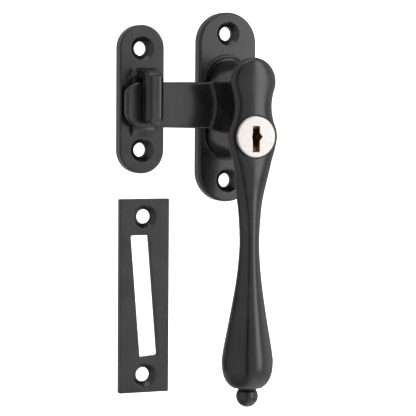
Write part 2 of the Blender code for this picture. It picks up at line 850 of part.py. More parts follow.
def grub_hole(reach, radius, name):
    """A hole up into the lock from below."""
    place = Matrix.Translation((0.0, -grub_out(), -lock_drop))
    return rod(name, None, radius, -reach, -plug_radius, 24, matrix=place)


def make_grub_screw():
    """The screw that holds the barrel: its tip is in the barrel's wall and its socket faces down."""
    tip = plug_radius + 2 * plug_gap
    place = Matrix.Translation((0.0, -grub_out(), -lock_drop))
    low = -tip - grub_length
    profile = [
        (0.0, -tip),
        (grub_radius - 0.3 * mm, -tip),
        (grub_radius, -tip - 0.3 * mm),
        (grub_radius, low + 0.2 * mm),
        (grub_radius - 0.2 * mm, low),
        (0.0, low),
    ]
    screw = turned_solid("barrel_screw", steel, profile, small_steps, matrix=place)
    cut(screw, rod("socket", None, 0.8 * mm, low - 1 * mm, low + 1.1 * mm, 6, matrix=place))
    return screw


def make_plug_clip():
    """The open ring behind the barrel that keeps the plug in it."""
    opening = radians(35)
    low = clip_out - clip_thick
    outline = arc(0, 0, barrel_radius - seat_gap, opening - pi / 2, 3 * pi / 2 - opening, 30)
    outline += arc(0, 0, tail_radius + turn_gap, 3 * pi / 2 - opening, opening - pi / 2, 16)
    flat_solid("plug_clip", spring_steel, [outline], low, clip_thick, 0.0, -lock_drop)


def pin_slot():
    """The winding slot in the bolt's wall: as the pin turns, it pushes the bolt along.

    Each step of the loft is a rectangle from inside the bore to outside the bolt, at the pin's angle
    and at the height to which the pin has then moved along the bolt.
    """
    inner, outer = bolt_bore_radius / 2, bolt_radius + 1 * mm
    steps = 14
    spare = asin(pin_slot_half / bolt_radius)
    body = bmesh.new()
    rows = []
    for k in range(steps + 1):
        turn = -spare + (bolt_turn + 2 * spare) * k / steps
        out = pin_out + bolt_travel * turn / bolt_turn
        row = []
        for radius, side in ((inner, -1), (outer, -1), (outer, 1), (inner, 1)):
            x, z = radius * sin(turn), radius * cos(turn)
            row.append(body.verts.new((x, -(out + side * pin_slot_half), z - lock_drop)))
        rows.append(row)
    for first, second in zip(rows, rows[1:]):
        for i in range(4):
            j = (i + 1) % 4
            body.faces.new((first[i], first[j], second[j], second[i]))
    body.faces.new(rows[0])
    body.faces.new(rows[-1])
    bmesh.ops.recalc_face_normals(body, faces=body.faces)
    mesh = bpy.data.meshes.new("pin_slot")
    body.to_mesh(mesh)
    body.free()
    return add_object("pin_slot", mesh, None)


def make_bolt():
    e = 0.4 * mm
    profile = [
        (0.0, bolt_front_out),
        (bolt_radius, bolt_front_out),
        (bolt_radius, bolt_tip_out + e),
        (bolt_radius - e, bolt_tip_out),
        (0.0, bolt_tip_out),
    ]
    bolt = turned_solid("lock_bolt", steel, profile, 36, 0.0, -lock_drop)
    low = -lock_drop - bolt_radius - bolt_key + seat_gap
    half = bolt_key / 2
    outs = (bolt_front_out - 5 * mm, bolt_front_out - weld)
    join(bolt, block("bolt_key", None, (-half, half), outs, (low, -lock_drop - bolt_radius + 0.6 * mm)))
    bore_end = tail_end_out - seat_gap
    cut(bolt, lock_rod("bolt_hollow", None, bolt_bore_radius, bore_end, bolt_front_out + 1 * mm, 24))
    cut(bolt, pin_slot())
    return bolt


def make_lock():
    make_lock_face()
    make_plug()
    make_wafers()
    make_wafer_springs()
    make_barrel()
    make_plug_clip()
    make_grub_screw()
    make_bolt()
    pin_rod("drive_pin", steel, pin_radius, -tail_radius + 0.2 * mm, bolt_radius - 0.2 * mm)


# ---- keeps ----


def place_in_plan(x, z):
    """A shape drawn in plan: its X across, its Y out from the wall, and its Z down."""
    return Matrix.Translation((x, 0.0, z)) @ Matrix.Rotation(pi, 4, "X")


def make_hook_keep():
    """A plate with a finger held out from it by a web at the top, and a ramp under the tongue."""
    x = -keep_left
    outline = stadium(keep_length, keep_width)
    keep = flat_solid("hook_keep", black, [outline], 0.0, keep_thick, x, keep_rise)
    round_front(keep, keep_edge, 3)

    finger_back = tongue_front_out + slide_gap
    finger_front = finger_back + finger_deep
    web_low = tongue_above + tongue_flare / 2 + slide_gap
    top = web_low + web_tall
    sunk = keep_thick - 1 * mm
    middle = x + finger_offset
    turn = Matrix(((0, 0, 1, middle), (0, -1, 0, 0), (1, 0, 0, 0), (0, 0, 0, 1)))

    # The finger and the web in one bent bar, seen from the side
    bend, end = finger_bend, finger_end
    outline = arc(finger_end - finger_below, finger_back + end, end, pi, 3 * pi / 2, 5)
    outline += [(web_low, finger_back), (web_low, sunk), (top, sunk)]
    outline += arc(top - bend, finger_front - bend, bend, 0, pi / 2, 8)
    outline += arc(finger_end - finger_below, finger_front - end, end, pi / 2, pi, 5)
    finger = flat_solid("finger", None, [outline], 0.0, finger_wide, matrix=turn)
    round_edges(
        finger, finger_edge, 4, lambda a, b: abs(a.z) > finger_wide / 2 - weld
        and abs(b.z) > finger_wide / 2 - weld and a.z * b.z > 0 and max(a.y, b.y) > keep_thick
    )

    # The foot of the web, seen from above, with a cove on each side where it meets the plate
    half = finger_wide / 2 - web_inset
    past = half + web_cove
    right = arc(past, keep_thick + web_cove, web_cove, 3 * pi / 2, pi, 5)
    foot_section = [(-past, sunk), (past, sunk)] + right
    foot_section += [(-u, v) for u, v in reversed(right)]
    place = place_in_plan(middle, (top + web_low) / 2)
    foot = flat_solid("foot", None, [foot_section], 0.0, web_tall - 2 * web_inset, matrix=place)

    # The ramp, seen from the side: it rises from the plate below the tongue and runs up to the web
    ramp_out = tongue_back_out - slide_gap
    low = -tongue_below - ramp_past - ramp_lead
    side = [(low - 1 * mm, sunk), (web_low + 1 * mm, sunk), (web_low + 1 * mm, ramp_out)]
    side += [(low + ramp_lead, ramp_out), (low, keep_thick)]
    turn = Matrix(((0, 0, 1, x), (0, -1, 0, 0), (1, 0, 0, 0), (0, 0, 0, 1)))
    ramp = flat_solid("ramp", None, [side], 0.0, ramp_wide, matrix=turn)
    join(keep, finger, foot, ramp)
    for name, side_of in (("top", 1), ("bottom", -1)):
        height = keep_rise + side_of * keep_screw_spacing / 2
        cut(keep, screw_cutter("keep_screw_" + name, keep_thick, x, height))
    return keep


def slot_outline():
    """A leaning slot: its top end is level and its bottom end is square to its sides."""
    lean, half = slot_lean, slot_wide / 2
    shift = slot_tall / 2 * sin(lean) / cos(lean)
    top = slot_tall / 2
    corners = [
        (shift + half, -top + half * sin(lean)),
        (-shift + half, top),
        (-shift - half, top),
        (shift - half, -top - half * sin(lean)),
    ]
    return rounded_polygon(corners, slot_corner)


def make_mortice_keep():
    x, z = -mortice_left, -mortice_drop
    outline = rectangle(mortice_width, mortice_length)
    keep = flat_solid("mortice_keep", black, [outline], 0.0, mortice_thick, x, z)
    round_front(keep, mortice_edge, 1)
    slot = flat_solid("slot", None, [slot_outline()], -1 * mm, mortice_thick + 2 * mm, x, z)
    cut(keep, slot)
    for name, side in (("top", 1), ("bottom", -1)):
        height = z + side * mortice_screw_spacing / 2
        cut(keep, screw_cutter("mortice_screw_" + name, mortice_thick, x, height))
    return keep


make_backplate()
make_drum()
make_handle()
make_spindle()
make_washers()
make_lock()
make_hook_keep()
make_mortice_keep()
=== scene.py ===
import json
from math import atan2, cos, pi, radians, sin, sqrt

import bmesh
import bpy
import numpy as np
from mathutils import Matrix, Vector
from mathutils.geometry import delaunay_2d_cdt


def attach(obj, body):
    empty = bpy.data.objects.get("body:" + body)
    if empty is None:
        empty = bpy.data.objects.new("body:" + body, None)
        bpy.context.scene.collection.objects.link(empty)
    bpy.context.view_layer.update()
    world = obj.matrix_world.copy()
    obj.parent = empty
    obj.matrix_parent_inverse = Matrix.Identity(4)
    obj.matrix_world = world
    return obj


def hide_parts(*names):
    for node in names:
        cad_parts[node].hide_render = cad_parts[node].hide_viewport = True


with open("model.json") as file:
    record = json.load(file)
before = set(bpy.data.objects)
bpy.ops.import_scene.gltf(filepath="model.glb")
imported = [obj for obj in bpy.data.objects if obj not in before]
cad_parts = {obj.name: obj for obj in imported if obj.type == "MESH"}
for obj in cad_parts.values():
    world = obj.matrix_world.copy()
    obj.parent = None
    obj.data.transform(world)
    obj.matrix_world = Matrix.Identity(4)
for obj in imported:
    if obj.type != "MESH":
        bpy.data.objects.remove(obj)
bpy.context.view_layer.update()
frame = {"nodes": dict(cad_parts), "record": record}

mm = 0.001

# A black locking casement fastener with its hook keep and mortice keep. Shapes are worked out
# in millimetres: x to the right, z up, and out, the distance in front of the window's face.

lockDrop = 10.2   # the lock's axis lies this far below the spindle's
flatRun = 0.12    # a flat run beside each rounded edge keeps the flat face's shading flat


def makePiece(name, body, material, shape, replaced=(), sharp=40):
    # The shape's (x, out, z) in millimetres become (x, -out, z) in metres
    points, faces = shape.all()
    mesh = bpy.data.meshes.new(name)
    world = np.column_stack((points[:, 0], -points[:, 1], points[:, 2])) * mm
    mesh.from_pydata(world.tolist(), [], faces)
    weld(mesh)
    mesh.shade_smooth()
    mesh.set_sharp_from_angle(angle=radians(sharp))
    mesh.materials.append(material)
    piece = bpy.data.objects.new(name, mesh)
    bpy.context.scene.collection.objects.link(piece)
    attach(piece, body)
    if replaced:
        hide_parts(*replaced)
    return piece


def weld(mesh):
    # Shared seams and collapsed poles become one, and the faces are turned outwards
    body = bmesh.new()
    body.from_mesh(mesh)
    bmesh.ops.remove_doubles(body, verts=body.verts, dist=0.002 * mm)
    bmesh.ops.recalc_face_normals(body, faces=body.faces)
    body.to_mesh(mesh)
    body.free()


def gridFaces(rows, columns, closed=True, start=0):
    # Quads between neighbouring points of a rows by columns grid; closed joins the last column
    # to the first
    across = np.arange(columns if closed else columns - 1)
    r, c = np.meshgrid(np.arange(rows - 1), across, indexing="ij")
    n = (c + 1) % columns
    a, b = r * columns + c, r * columns + n
    return (np.stack((a, b, b + columns, a + columns), -1).reshape(-1, 4) + start).tolist()


class Shape:
    # Gathers the surfaces of one piece
    def __init__(self):
        self.points, self.faces, self.count = [], [], 0

    def addGrid(self, grid):
        # Quads over a grid of rows, each row closed on itself
        rows, columns = grid.shape[:2]
        self.faces += gridFaces(rows, columns, True, self.count)
        self.points.append(grid.reshape(-1, 3))
        self.count += rows * columns

    def addCapped(self, grid):
        # The same, with the first and the last row filled
        first, columns = self.count, grid.shape[1]
        self.addGrid(grid)
        last = self.count - columns
        self.faces += [list(range(row, row + columns)) for row in (first, last)]

    def addFaces(self, points, faces):
        # Faces numbered by their own points
        self.faces += [[i + self.count for i in f] for f in faces]
        self.points.append(np.asarray(points, float))
        self.count += len(points)

    def all(self):
        return np.concatenate(self.points), self.faces


def arcPoints(u, v, radius, start, end, steps):
    # (u + radius cos a, v + radius sin a) for a evenly from start to end
    a = np.linspace(start, end, steps + 1)
    return np.column_stack((u + radius * np.cos(a), v + radius * np.sin(a)))


def rounded(inset, out, radius, start, end, steps=6):
    # A rounded edge in a profile, about the centre (inset, out)
    return arcPoints(inset, out, radius, start, end, steps).tolist()


def circle(x, z, radius, steps=64):
    # A full turn of arcPoints, without its last point, which would be the first again
    return arcPoints(x, z, radius, 0, 2 * pi * (1 - 1 / steps), steps - 1)


def stadium(length, width, x=0.0, z=0.0, steps=40):
    # Two half circles, above and below, joined by straight sides
    r = width / 2
    top = arcPoints(x, z + length / 2 - r, r, 0, pi, steps)
    low = arcPoints(x, z - length / 2 + r, r, pi, 2 * pi, steps)
    return np.concatenate((top, low))


def smoothStep(value, low, high):
    # 3 t^2 - 2 t^3, t going from 0 at low to 1 at high
    t = np.clip((value - low) / (high - low), 0, 1)
    return t * t * (3 - 2 * t)


def normalsOf(outline):
    # The outward normal at each point of a closed anticlockwise outline: the chord between its
    # two neighbours, turned a quarter back
    chord = np.roll(outline, -1, 0) - np.roll(outline, 1, 0)
    chord /= np.linalg.norm(chord, axis=1)[:, None]
    return np.column_stack((chord[:, 1], -chord[:, 0]))


def carry(outline, normals, profile):
    # Each (inset, out) of the profile carried round the outline: outline - inset * normal, at out
    inset, out = np.asarray(profile, float).T
    flat = outline[None] - inset[:, None, None] * normals[None]
    level = np.broadcast_to(out[:, None], flat.shape[:2])
    return np.stack((flat[..., 0], level, flat[..., 1]), -1)


def ringCarry(shape, x, z, profile, steps=64):
    # A (radius, out) profile carried round an axis that points out through x, z: each point is
    # (x + radius cos a, out, z + radius sin a)
    radius, out = np.asarray(profile, float).T
    a = np.linspace(0, 2 * pi, steps, endpoint=False)
    level = np.broadcast_to(out[:, None], (len(out), steps))
    grid = (x + radius[:, None] * np.cos(a), level, z + radius[:, None] * np.sin(a))
    shape.addGrid(np.stack(grid, -1))


def addWall(shape, loops, outs):
    # A wall through loops of (x, z), each at its own distance out
    loops = np.asarray(loops, float)
    level = np.broadcast_to(np.reshape(outs, (-1, 1)), loops.shape[:2])
    shape.addGrid(np.stack((loops[..., 0], level, loops[..., 1]), -1))


def flatFace(shape, loops, out):
    # A flat face between an outer loop and the holes inside it, at one distance out: Delaunay
    # triangles that keep every loop's own edges
    points, edges, start = np.concatenate(loops), [], 0
    for loop in loops:
        n = len(loop)
        edges += [(start + i, start + (i + 1) % n) for i in range(n)]
        start += n
    outer = [list(range(len(loops[0])))]
    made = delaunay_2d_cdt([Vector(p) for p in points], edges, outer, 2, 1e-6)
    flat = np.array([tuple(p) for p in made[0]])
    shape.addFaces(np.column_stack((flat[:, 0], np.full(len(flat), out), flat[:, 1])), made[2])


def linear(colour):
    # An sRGB hex colour in linear light: ((c + 0.055) / 1.055) ^ 2.4, or c / 12.92 in the darks
    c = np.array([int(colour[i:i + 2], 16) for i in (1, 3, 5)]) / 255
    return (*np.where(c <= 0.04045, c / 12.92, ((c + 0.055) / 1.055) ** 2.4), 1.0)


def addNode(owner, kind, links=(), inputs=(), **settings):
    # A node of a material or a world; links are (input, socket) and inputs are (input, value)
    node = owner.node_tree.nodes.new(kind)
    for key, value in settings.items():
        setattr(node, key, value)
    for key, value in inputs:
        node.inputs[key].default_value = value
    for key, source in links:
        owner.node_tree.links.new(source, node.inputs[key])
    return node


def fromTo(start, end):
    # The inputs that carry one range of values onto another
    return [("From Min", start[0]), ("From Max", start[1]), ("To Min", end[0]), ("To Max", end[1])]


def newMaterial(name, inputs):
    # A material and its shader; what is the same all over is set on the shader's own sockets
    material = bpy.data.materials.new(name)
    material.use_nodes = True
    shader = material.node_tree.nodes["Principled BSDF"]
    for key, value in inputs:
        shader.inputs[key].default_value = value
    return material, shader


def join(owner, source, shader, name):
    # Joins a pattern to one of the shader's sockets
    owner.node_tree.links.new(source, shader.inputs[name])


noiseMiddle = (0.3, 0.7)   # nearly all of a noise's values lie between these

powderCoat = {
    "deep": "#0b0b0c", "worn": "#1c1b1b", "toneAt": (0.35, 0.75), "roughness": (0.20, 0.30),
    "wearScale": 90.0,     # patches of about 11 mm
    "peelMm": 1.3, "peelHeight": 0.005, "peelStrength": 0.6,
    "castMm": 7.0, "castHeight": 0.05, "castStrength": 0.55,
    "specular": 0.62, "coat": 0.15, "coatRoughness": 0.18,
}


def blackPowderCoat(name, values=powderCoat):
    # Satin black polyester powder on a zinc casting: the eye gets a deep black with soft broad
    # highlights, a faint orange peel from the flowed powder and a slow waviness from the casting
    material, shader = newMaterial(name, [
        ("Specular IOR Level", values["specular"]), ("Coat Weight", values["coat"]),
        ("Coat Roughness", values["coatRoughness"])])
    place = addNode(material, "ShaderNodeTexCoord").outputs["Object"]
    peel = addNode(material, "ShaderNodeTexNoise", [("Vector", place)],
                   [("Scale", 1 / (values["peelMm"] * mm)), ("Detail", 2.0), ("Roughness", 0.5)])
    cast = addNode(material, "ShaderNodeTexNoise", [("Vector", place)],
                   [("Scale", 1 / (values["castMm"] * mm)), ("Detail", 3.0), ("Roughness", 0.55)])
    wear = addNode(material, "ShaderNodeTexNoise", [("Vector", place)],
                   [("Scale", values["wearScale"]), ("Detail", 5.0), ("Roughness", 0.62)])
    rough = addNode(material, "ShaderNodeMapRange", [("Value", wear.outputs["Fac"])],
                    fromTo(noiseMiddle, values["roughness"]))
    join(material, rough.outputs["Result"], shader, "Roughness")
    tone = addNode(material, "ShaderNodeValToRGB", [("Fac", wear.outputs["Fac"])])
    for i, colour in enumerate(("deep", "worn")):
        tone.color_ramp.elements[i].position = values["toneAt"][i]
        tone.color_ramp.elements[i].color = linear(values[colour])
    join(material, tone.outputs["Color"], shader, "Base Color")
    wave = addNode(material, "ShaderNodeBump", [("Height", cast.outputs["Fac"])],
                   [("Strength", values["castStrength"]), ("Distance", values["castHeight"] * mm)])
    skin = addNode(material, "ShaderNodeBump",
                   [("Height", peel.outputs["Fac"]), ("Normal", wave.outputs["Normal"])],
                   [("Strength", values["peelStrength"]), ("Distance", values["peelHeight"] * mm)])
    join(material, skin.outputs["Normal"], shader, "Normal")
    return material


def turnedMetal(name, colour, dull, roughness, lineMm, centre=(0, 0, 0), grain=260.0):
    # Metal turned or drawn, then finished: the eye gets fine rings about the axis, which stretch
    # the highlight, and a smear of brighter and duller patches. lineMm is about the width of each
    # ridge and each groove, and grain is the number of patches in a metre
    material, shader = newMaterial(name, [("Metallic", 1.0)])
    place = addNode(material, "ShaderNodeTexCoord").outputs["Object"]
    moved = addNode(material, "ShaderNodeMapping", [("Vector", place)],
                    [("Location", tuple(-c * mm for c in centre))])
    rings = addNode(material, "ShaderNodeTexWave", [("Vector", moved.outputs["Vector"])],
                    [("Scale", 1 / (lineMm * mm * 2 * pi)), ("Distortion", 1.2), ("Detail", 2.0),
                     ("Detail Scale", 1.5)], wave_type="RINGS", rings_direction="Y")
    smear = addNode(material, "ShaderNodeTexNoise", [("Vector", place)],
                    [("Scale", grain), ("Detail", 4.0), ("Roughness", 0.6)])
    tone = addNode(material, "ShaderNodeMix", [(0, smear.outputs["Fac"])], data_type="RGBA")
    tone.inputs["A"].default_value = linear(colour)
    tone.inputs["B"].default_value = linear(dull)
    join(material, tone.outputs["Result"], shader, "Base Color")
    rough = addNode(material, "ShaderNodeMapRange", [("Value", smear.outputs["Fac"])],
                    fromTo(noiseMiddle, roughness))
    join(material, rough.outputs["Result"], shader, "Roughness")
    bump = addNode(material, "ShaderNodeBump", [("Height", rings.outputs["Fac"])],
                   [("Strength", 0.25), ("Distance", 0.004 * mm)])
    join(material, bump.outputs["Normal"], shader, "Normal")
    return material


lockAxis = (0, 0, -lockDrop)
coat = blackPowderCoat("blackPowderCoat")
# Satin nickel plate: pale and slightly warm, bright all over, with a fine dull grain
nickel = turnedMetal("satinNickel", "#d0ccca", "#bcb7b4", (0.26, 0.34), 0.16, lockAxis, 1100.0)
# Turned brass gone dull inside the lock: yellow brown, with the tool's rings
brass = turnedMetal("turnedBrass", "#b98f4a", "#7d5a30", (0.30, 0.45), 0.2, lockAxis)
# Zinc plate: a cool even grey. Tempered spring steel: darker, smoother and a little blue.
# Sintered bronze: brown and the dullest, from its open grain
steel = turnedMetal("zincPlatedSteel", "#b9bcc0", "#94979b", (0.30, 0.44), 0.2)
springSteel = turnedMetal("blueGreySpringSteel", "#8f9092", "#6d6e70", (0.25, 0.38), 0.25)
bronze = turnedMetal("sinteredBronze", "#b1804a", "#8b6238", (0.36, 0.52), 0.25)
slotMaterials = {"black_coat": coat, "nickel": nickel, "brass": brass, "steel": steel,
                 "spring_steel": springSteel, "bronze": bronze}

for entry in frame["record"]["subparts"]:
    node = frame["nodes"][entry["node"]]
    for held in node.material_slots:
        held.material = slotMaterials[entry["material_slot"]]
print("materials done")


backPlate = {"length": 70.0, "width": 22.6, "thick": 4.5, "edge": 0.9, "backEdge": 0.1,
             "screwHeight": 27.1, "bore": 2.6, "head": 4.25,
             "padLength": 38.7, "padWidth": 19.6, "padCove": 0.3, "lipOut": 5.7, "lipWidth": 1.1,
             "lipEdge": 0.35, "floorOut": 5.3, "spindleBore": 3.15, "spindleEdge": 0.15,
             "recess": 5.6, "recessDepth": 2.6, "recessEdge": 0.12,
             "boltBore": 3.5, "boltEdge": 0.2, "boltFloor": 2.65}


def plateRim(v):
    # Back face's rim, the side wall, then a quarter-round front edge and a short flat run
    thick, edge, flare = v["thick"], v["edge"], v["backEdge"]
    near = 0.15   # a row this far from each edge keeps the wall's shading straight
    wall = [[flare + flatRun, 0.0], [flare, 0.0], [0.0, flare], [0.0, flare + near],
            [0.0, thick - edge - near]]
    return wall + rounded(edge, thick - edge, edge, pi, pi / 2) + [[edge + flatRun, thick]]


def screwHole(shape, x, z, v, steps=56):
    # Countersunk hole: front edge slightly rolled, a 90 degree cone, the bore, the back edge.
    # Gives the loops where it leaves the flat front and the flat back
    thick, bore, head = v["thick"], v["bore"], v["head"]
    roll, foot, coneFoot = 0.22, 0.12, thick - (head - bore)
    front, back = head + roll + flatRun, bore + foot + flatRun
    profile = [[front, thick], [head + roll, thick], [head + 0.1, thick - 0.05],
               [head - 0.05, thick - 0.17], [bore + foot, coneFoot - 0.05],
               [bore, coneFoot - 0.2], [bore, foot], [bore + foot, 0.0], [back, 0.0]]
    ringCarry(shape, x, z, profile, steps)
    return circle(x, z, front, steps), circle(x, z, back, steps)


def addPlate(shape, outline, v, x=0.0, z=0.0, frontLoops=(), backLoops=()):
    # A plate: its rim carried round the outline, a screw hole above and one below x, z, and the
    # flat front and back between the rim, the screw holes and any other loops
    normals = normalsOf(outline)
    shape.addGrid(carry(outline, normals, plateRim(v)))
    holes = [screwHole(shape, x, z + side * v["screwHeight"], v) for side in (1, -1)]
    front, back = (outline - (v[edge] + flatRun) * normals for edge in ("edge", "backEdge"))
    flatFace(shape, [front, *frontLoops] + [hole[0] for hole in holes], v["thick"])
    flatFace(shape, [back, *backLoops] + [hole[1] for hole in holes], 0.0)


def makeBackPlate(v=backPlate):
    # The pad's profile is a small cove at its foot, the lip's two rounded edges and the sunk
    # floor, carried round a stadium. The spindle's and the bolt's holes are rings in the floor
    shape = Shape()
    pad = stadium(v["padLength"], v["padWidth"])
    normals = normalsOf(pad)
    thick, cove, floor = v["thick"], v["padCove"], v["floorOut"]
    edge, lip, width = v["lipEdge"], v["lipOut"], v["lipWidth"]
    sunk = width + 0.2
    profile = [[-cove - flatRun, thick], [-cove, thick], [-0.3 * cove, thick + 0.3 * cove],
               [0.0, thick + cove]]
    profile += rounded(edge, lip - edge, edge, pi, pi / 2, 5)
    profile += rounded(width - edge, lip - edge, edge, pi / 2, 0, 5)[1:]
    profile += [[width + 0.05, floor + 0.02], [sunk, floor], [sunk + flatRun, floor]]
    shape.addGrid(carry(pad, normals, profile))
    bore, rim = v["spindleBore"], v["spindleEdge"]
    recess, depth, foot = v["recess"], v["recessDepth"], v["recessEdge"]
    spindleLoop, recessLoop = bore + rim + flatRun, recess + foot + flatRun
    ringCarry(shape, 0.0, 0.0, [
        [spindleLoop, floor], [bore + rim, floor], [bore, floor - rim], [bore, depth],
        [recess, depth], [recess, foot], [recess + foot, 0.0], [recessLoop, 0.0]])
    bolt, rim, end = v["boltBore"], v["boltEdge"], v["boltFloor"]
    boltLoop = bolt + rim + flatRun
    ringCarry(shape, 0.0, -lockDrop, [
        [boltLoop, floor], [bolt + rim, floor], [bolt, floor - rim], [bolt, end], [0.0, end]])
    flatFace(shape, [pad - (sunk + flatRun) * normals, circle(0, 0, spindleLoop),
                     circle(0, -lockDrop, boltLoop)], floor)
    addPlate(shape, stadium(v["length"], v["width"]), v,
             frontLoops=[pad + (cove + flatRun) * normals], backLoops=[circle(0, 0, recessLoop)])
    makePiece("back_plate_casting", "plate", coat, shape, ["backplate"])


makeBackPlate()
print("back plate done")


drumShape = {"lobeRise": 9.4, "lobeRadius": 8.7, "lockRadius": 9.5, "waist": 18.0, "inset": 0.8,
             "baseOut": 6.0, "topOut": 26.9, "backEdge": 0.35, "frontEdge": 0.25,
             "squareHalf": 2.7, "washerBore": 5.9, "washerSeat": 8.3,
             "lockBore": 7.2, "lockSeat": 18.7, "boltBore": 3.5}
tongueShape = {"reach": 41.6, "length": 31.0, "backOut": 7.1, "thick": 3.0, "above": 9.0,
               "below": 7.1, "flare": 0.6, "cornerWide": 5.2, "cornerAbove": 4.6,
               "cornerBelow": 5.6, "edge": 0.95, "fillet": 1.7}


def waistedOutline(inset, v=drumShape, lobeSteps=60, waistSteps=40):
    # Upper lobe, left waist, lower lobe, right waist, all arcs that meet in line
    upper, lower = v["lobeRadius"] + v["waist"], v["lockRadius"] + v["waist"]
    apart = v["lobeRise"] + lockDrop
    below = (upper ** 2 - lower ** 2 + apart ** 2) / (2 * apart)
    across, height = sqrt(upper ** 2 - below ** 2), v["lobeRise"] - below
    topTurn = atan2(height - v["lobeRise"], across)
    lowTurn = atan2(height + lockDrop, across)
    top = arcPoints(0, v["lobeRise"], v["lobeRadius"] - inset, topTurn, pi - topTurn, lobeSteps)
    low = arcPoints(0, -lockDrop, v["lockRadius"] - inset, pi - lowTurn, 2 * pi + lowTurn,
                    lobeSteps)
    left = arcPoints(-across, height, v["waist"] + inset, -topTurn, -lowTurn, waistSteps)[1:-1]
    right = arcPoints(across, height, v["waist"] + inset, pi + lowTurn, pi + topTurn,
                      waistSteps)[1:-1]
    return np.concatenate((top, left, low, right))


def halfWidthAt(z, inset):
    # Half the waisted outline's width at a height
    outline = waistedOutline(inset)
    side = outline[outline[:, 0] >= 0]
    order = np.argsort(side[:, 1])
    return np.interp(z, side[order, 1], side[order, 0])


def roundedLoop(longSteps, shortSteps, cornerSteps):
    # A unit rounded rectangle: core gives the corner centres' signs, and turn the outward
    # directions. A point is (half - radius) * core + radius * turn, and its normal is turn
    core, turn = [], []
    for k, (su, sv) in enumerate(((1, 1), (-1, 1), (-1, -1), (1, -1))):
        a = np.linspace(k * pi / 2, (k + 1) * pi / 2, cornerSteps + 1)
        core.append(np.tile((su, sv), (len(a), 1)))
        turn.append(np.column_stack((np.cos(a), np.sin(a))))
        steps = longSteps if k % 2 == 0 else shortSteps
        t = np.linspace(0, 1, steps + 1)[1:-1, None]
        nextCorner = ((-1, 1), (-1, -1), (1, -1), (1, 1))[k]
        core.append((1 - t) * np.array((su, sv)) + t * np.array(nextCorner))
        turn.append(np.tile((cos((k + 1) * pi / 2), sin((k + 1) * pi / 2)), (len(t), 1)))
    return np.concatenate(core), np.concatenate(turn)


def addTongue(shape, t=tongueShape):
    # A bar of rounded sections from the tip to the drum's wall. Near the tip its top and bottom
    # edges close in by r * (1 - sqrt(1 - (1 - q / w)^2)), q being the distance from the tip, w
    # the corner's width and r its height; at the wall the section swells by f * (1 - cos s) while
    # the distance to the wall falls as f * (1 - sin s), s going through a quarter turn
    core, turn = roundedLoop(40, 4, 8)
    wide, edge, fillet = t["cornerWide"], t["edge"], t["fillet"]
    q = np.concatenate((wide * (1 - np.cos(np.linspace(0, pi / 2, 26))),
                        np.linspace(wide + 0.6, t["length"], 30)))
    close = 1 - np.sqrt(1 - np.maximum(0, 1 - q / wide) ** 2)
    thin = edge - np.sqrt(np.maximum(0, edge ** 2 - np.maximum(0, edge - q) ** 2))
    share = q / t["length"]
    top = t["above"] + t["flare"] / 2 * share - t["cornerAbove"] * close
    low = -t["below"] - t["flare"] * share + t["cornerBelow"] * close
    halfTall, halfThick = (top - low) / 2, t["thick"] / 2 - thin
    radius = np.minimum(edge, halfThick)
    middleOut = t["backOut"] + t["thick"] / 2

    def sections(rows, grow):
        # z and out of the points of these rows, each row grown outwards by its own amount
        r = radius[rows, None]
        turned = (r + np.reshape(grow, (-1, 1)))[..., None] * turn
        z = (top + low)[rows, None] / 2 + (halfTall[rows, None] - r) * core[:, 0] + turned[..., 0]
        out = middleOut + (halfThick[rows, None] - r) * core[:, 1] + turned[..., 1]
        return z, np.maximum(out, drumShape["baseOut"] + 0.05)   # stays clear of the pad

    z, out = sections(np.arange(len(q)), 0.0)
    wall = -halfWidthAt(z, drumShape["inset"]) - fillet
    bar = np.stack((-t["reach"] + share[:, None] * (wall + t["reach"]), out, z), -1)
    s = np.linspace(0, pi / 2, 13)[1:]
    z, out = sections(np.full(len(s), len(q) - 1), fillet * (1 - np.cos(s)))
    wall = -halfWidthAt(z, drumShape["inset"])
    swell = np.stack((wall - (fillet * (1 - np.sin(s)))[:, None], out, z), -1)
    sunk = swell[-1:] + (0.8, 0, 0)   # the last section again, inside the drum
    shape.addCapped(np.concatenate((bar, swell, sunk)))


def makeDrum(v=drumShape):
    # The waisted outline with its edges rounded. Its front runs round the lock's bore and the
    # spindle's square, and its back round the bolt's bore and the washer's
    shape = Shape()
    outline = waistedOutline(v["inset"])
    normals = normalsOf(outline)
    base, top, back, front = v["baseOut"], v["topOut"], v["backEdge"], v["frontEdge"]
    profile = [[back + flatRun, base], [back, base], [0.1, base + 0.1], [0.0, base + back],
               [0.0, base + 0.6], [0.0, (base + top) / 2], [0.0, top - 0.5], [0.0, top - 0.2],
               [0.1, top - 0.04], [front, top], [front + flatRun, top]]
    shape.addGrid(carry(outline, normals, profile))
    square = v["squareHalf"] * np.array([[1, -1], [1, 1], [-1, 1], [-1, -1]])
    lock, bolt, washer = v["lockBore"], v["boltBore"], v["washerBore"]
    frontRim, backRim = (outline - (edge + flatRun) * normals for edge in (front, back))
    flatFace(shape, [frontRim, circle(0, -lockDrop, lock), square], top)
    ringCarry(shape, 0.0, -lockDrop, [[lock, top], [lock, v["lockSeat"]], [bolt, v["lockSeat"]],
                                      [bolt, base]])
    addWall(shape, [square, square], (top, v["washerSeat"]))
    flatFace(shape, [circle(0, 0, washer), square], v["washerSeat"])
    ringCarry(shape, 0.0, 0.0, [[washer, v["washerSeat"]], [washer, base]])
    flatFace(shape, [backRim, circle(0, -lockDrop, bolt), circle(0, 0, washer)], base)
    addTongue(shape)
    makePiece("drum_and_tongue_casting", "lever", coat, shape, ["drum"])


makeDrum()
print("drum and tongue done")


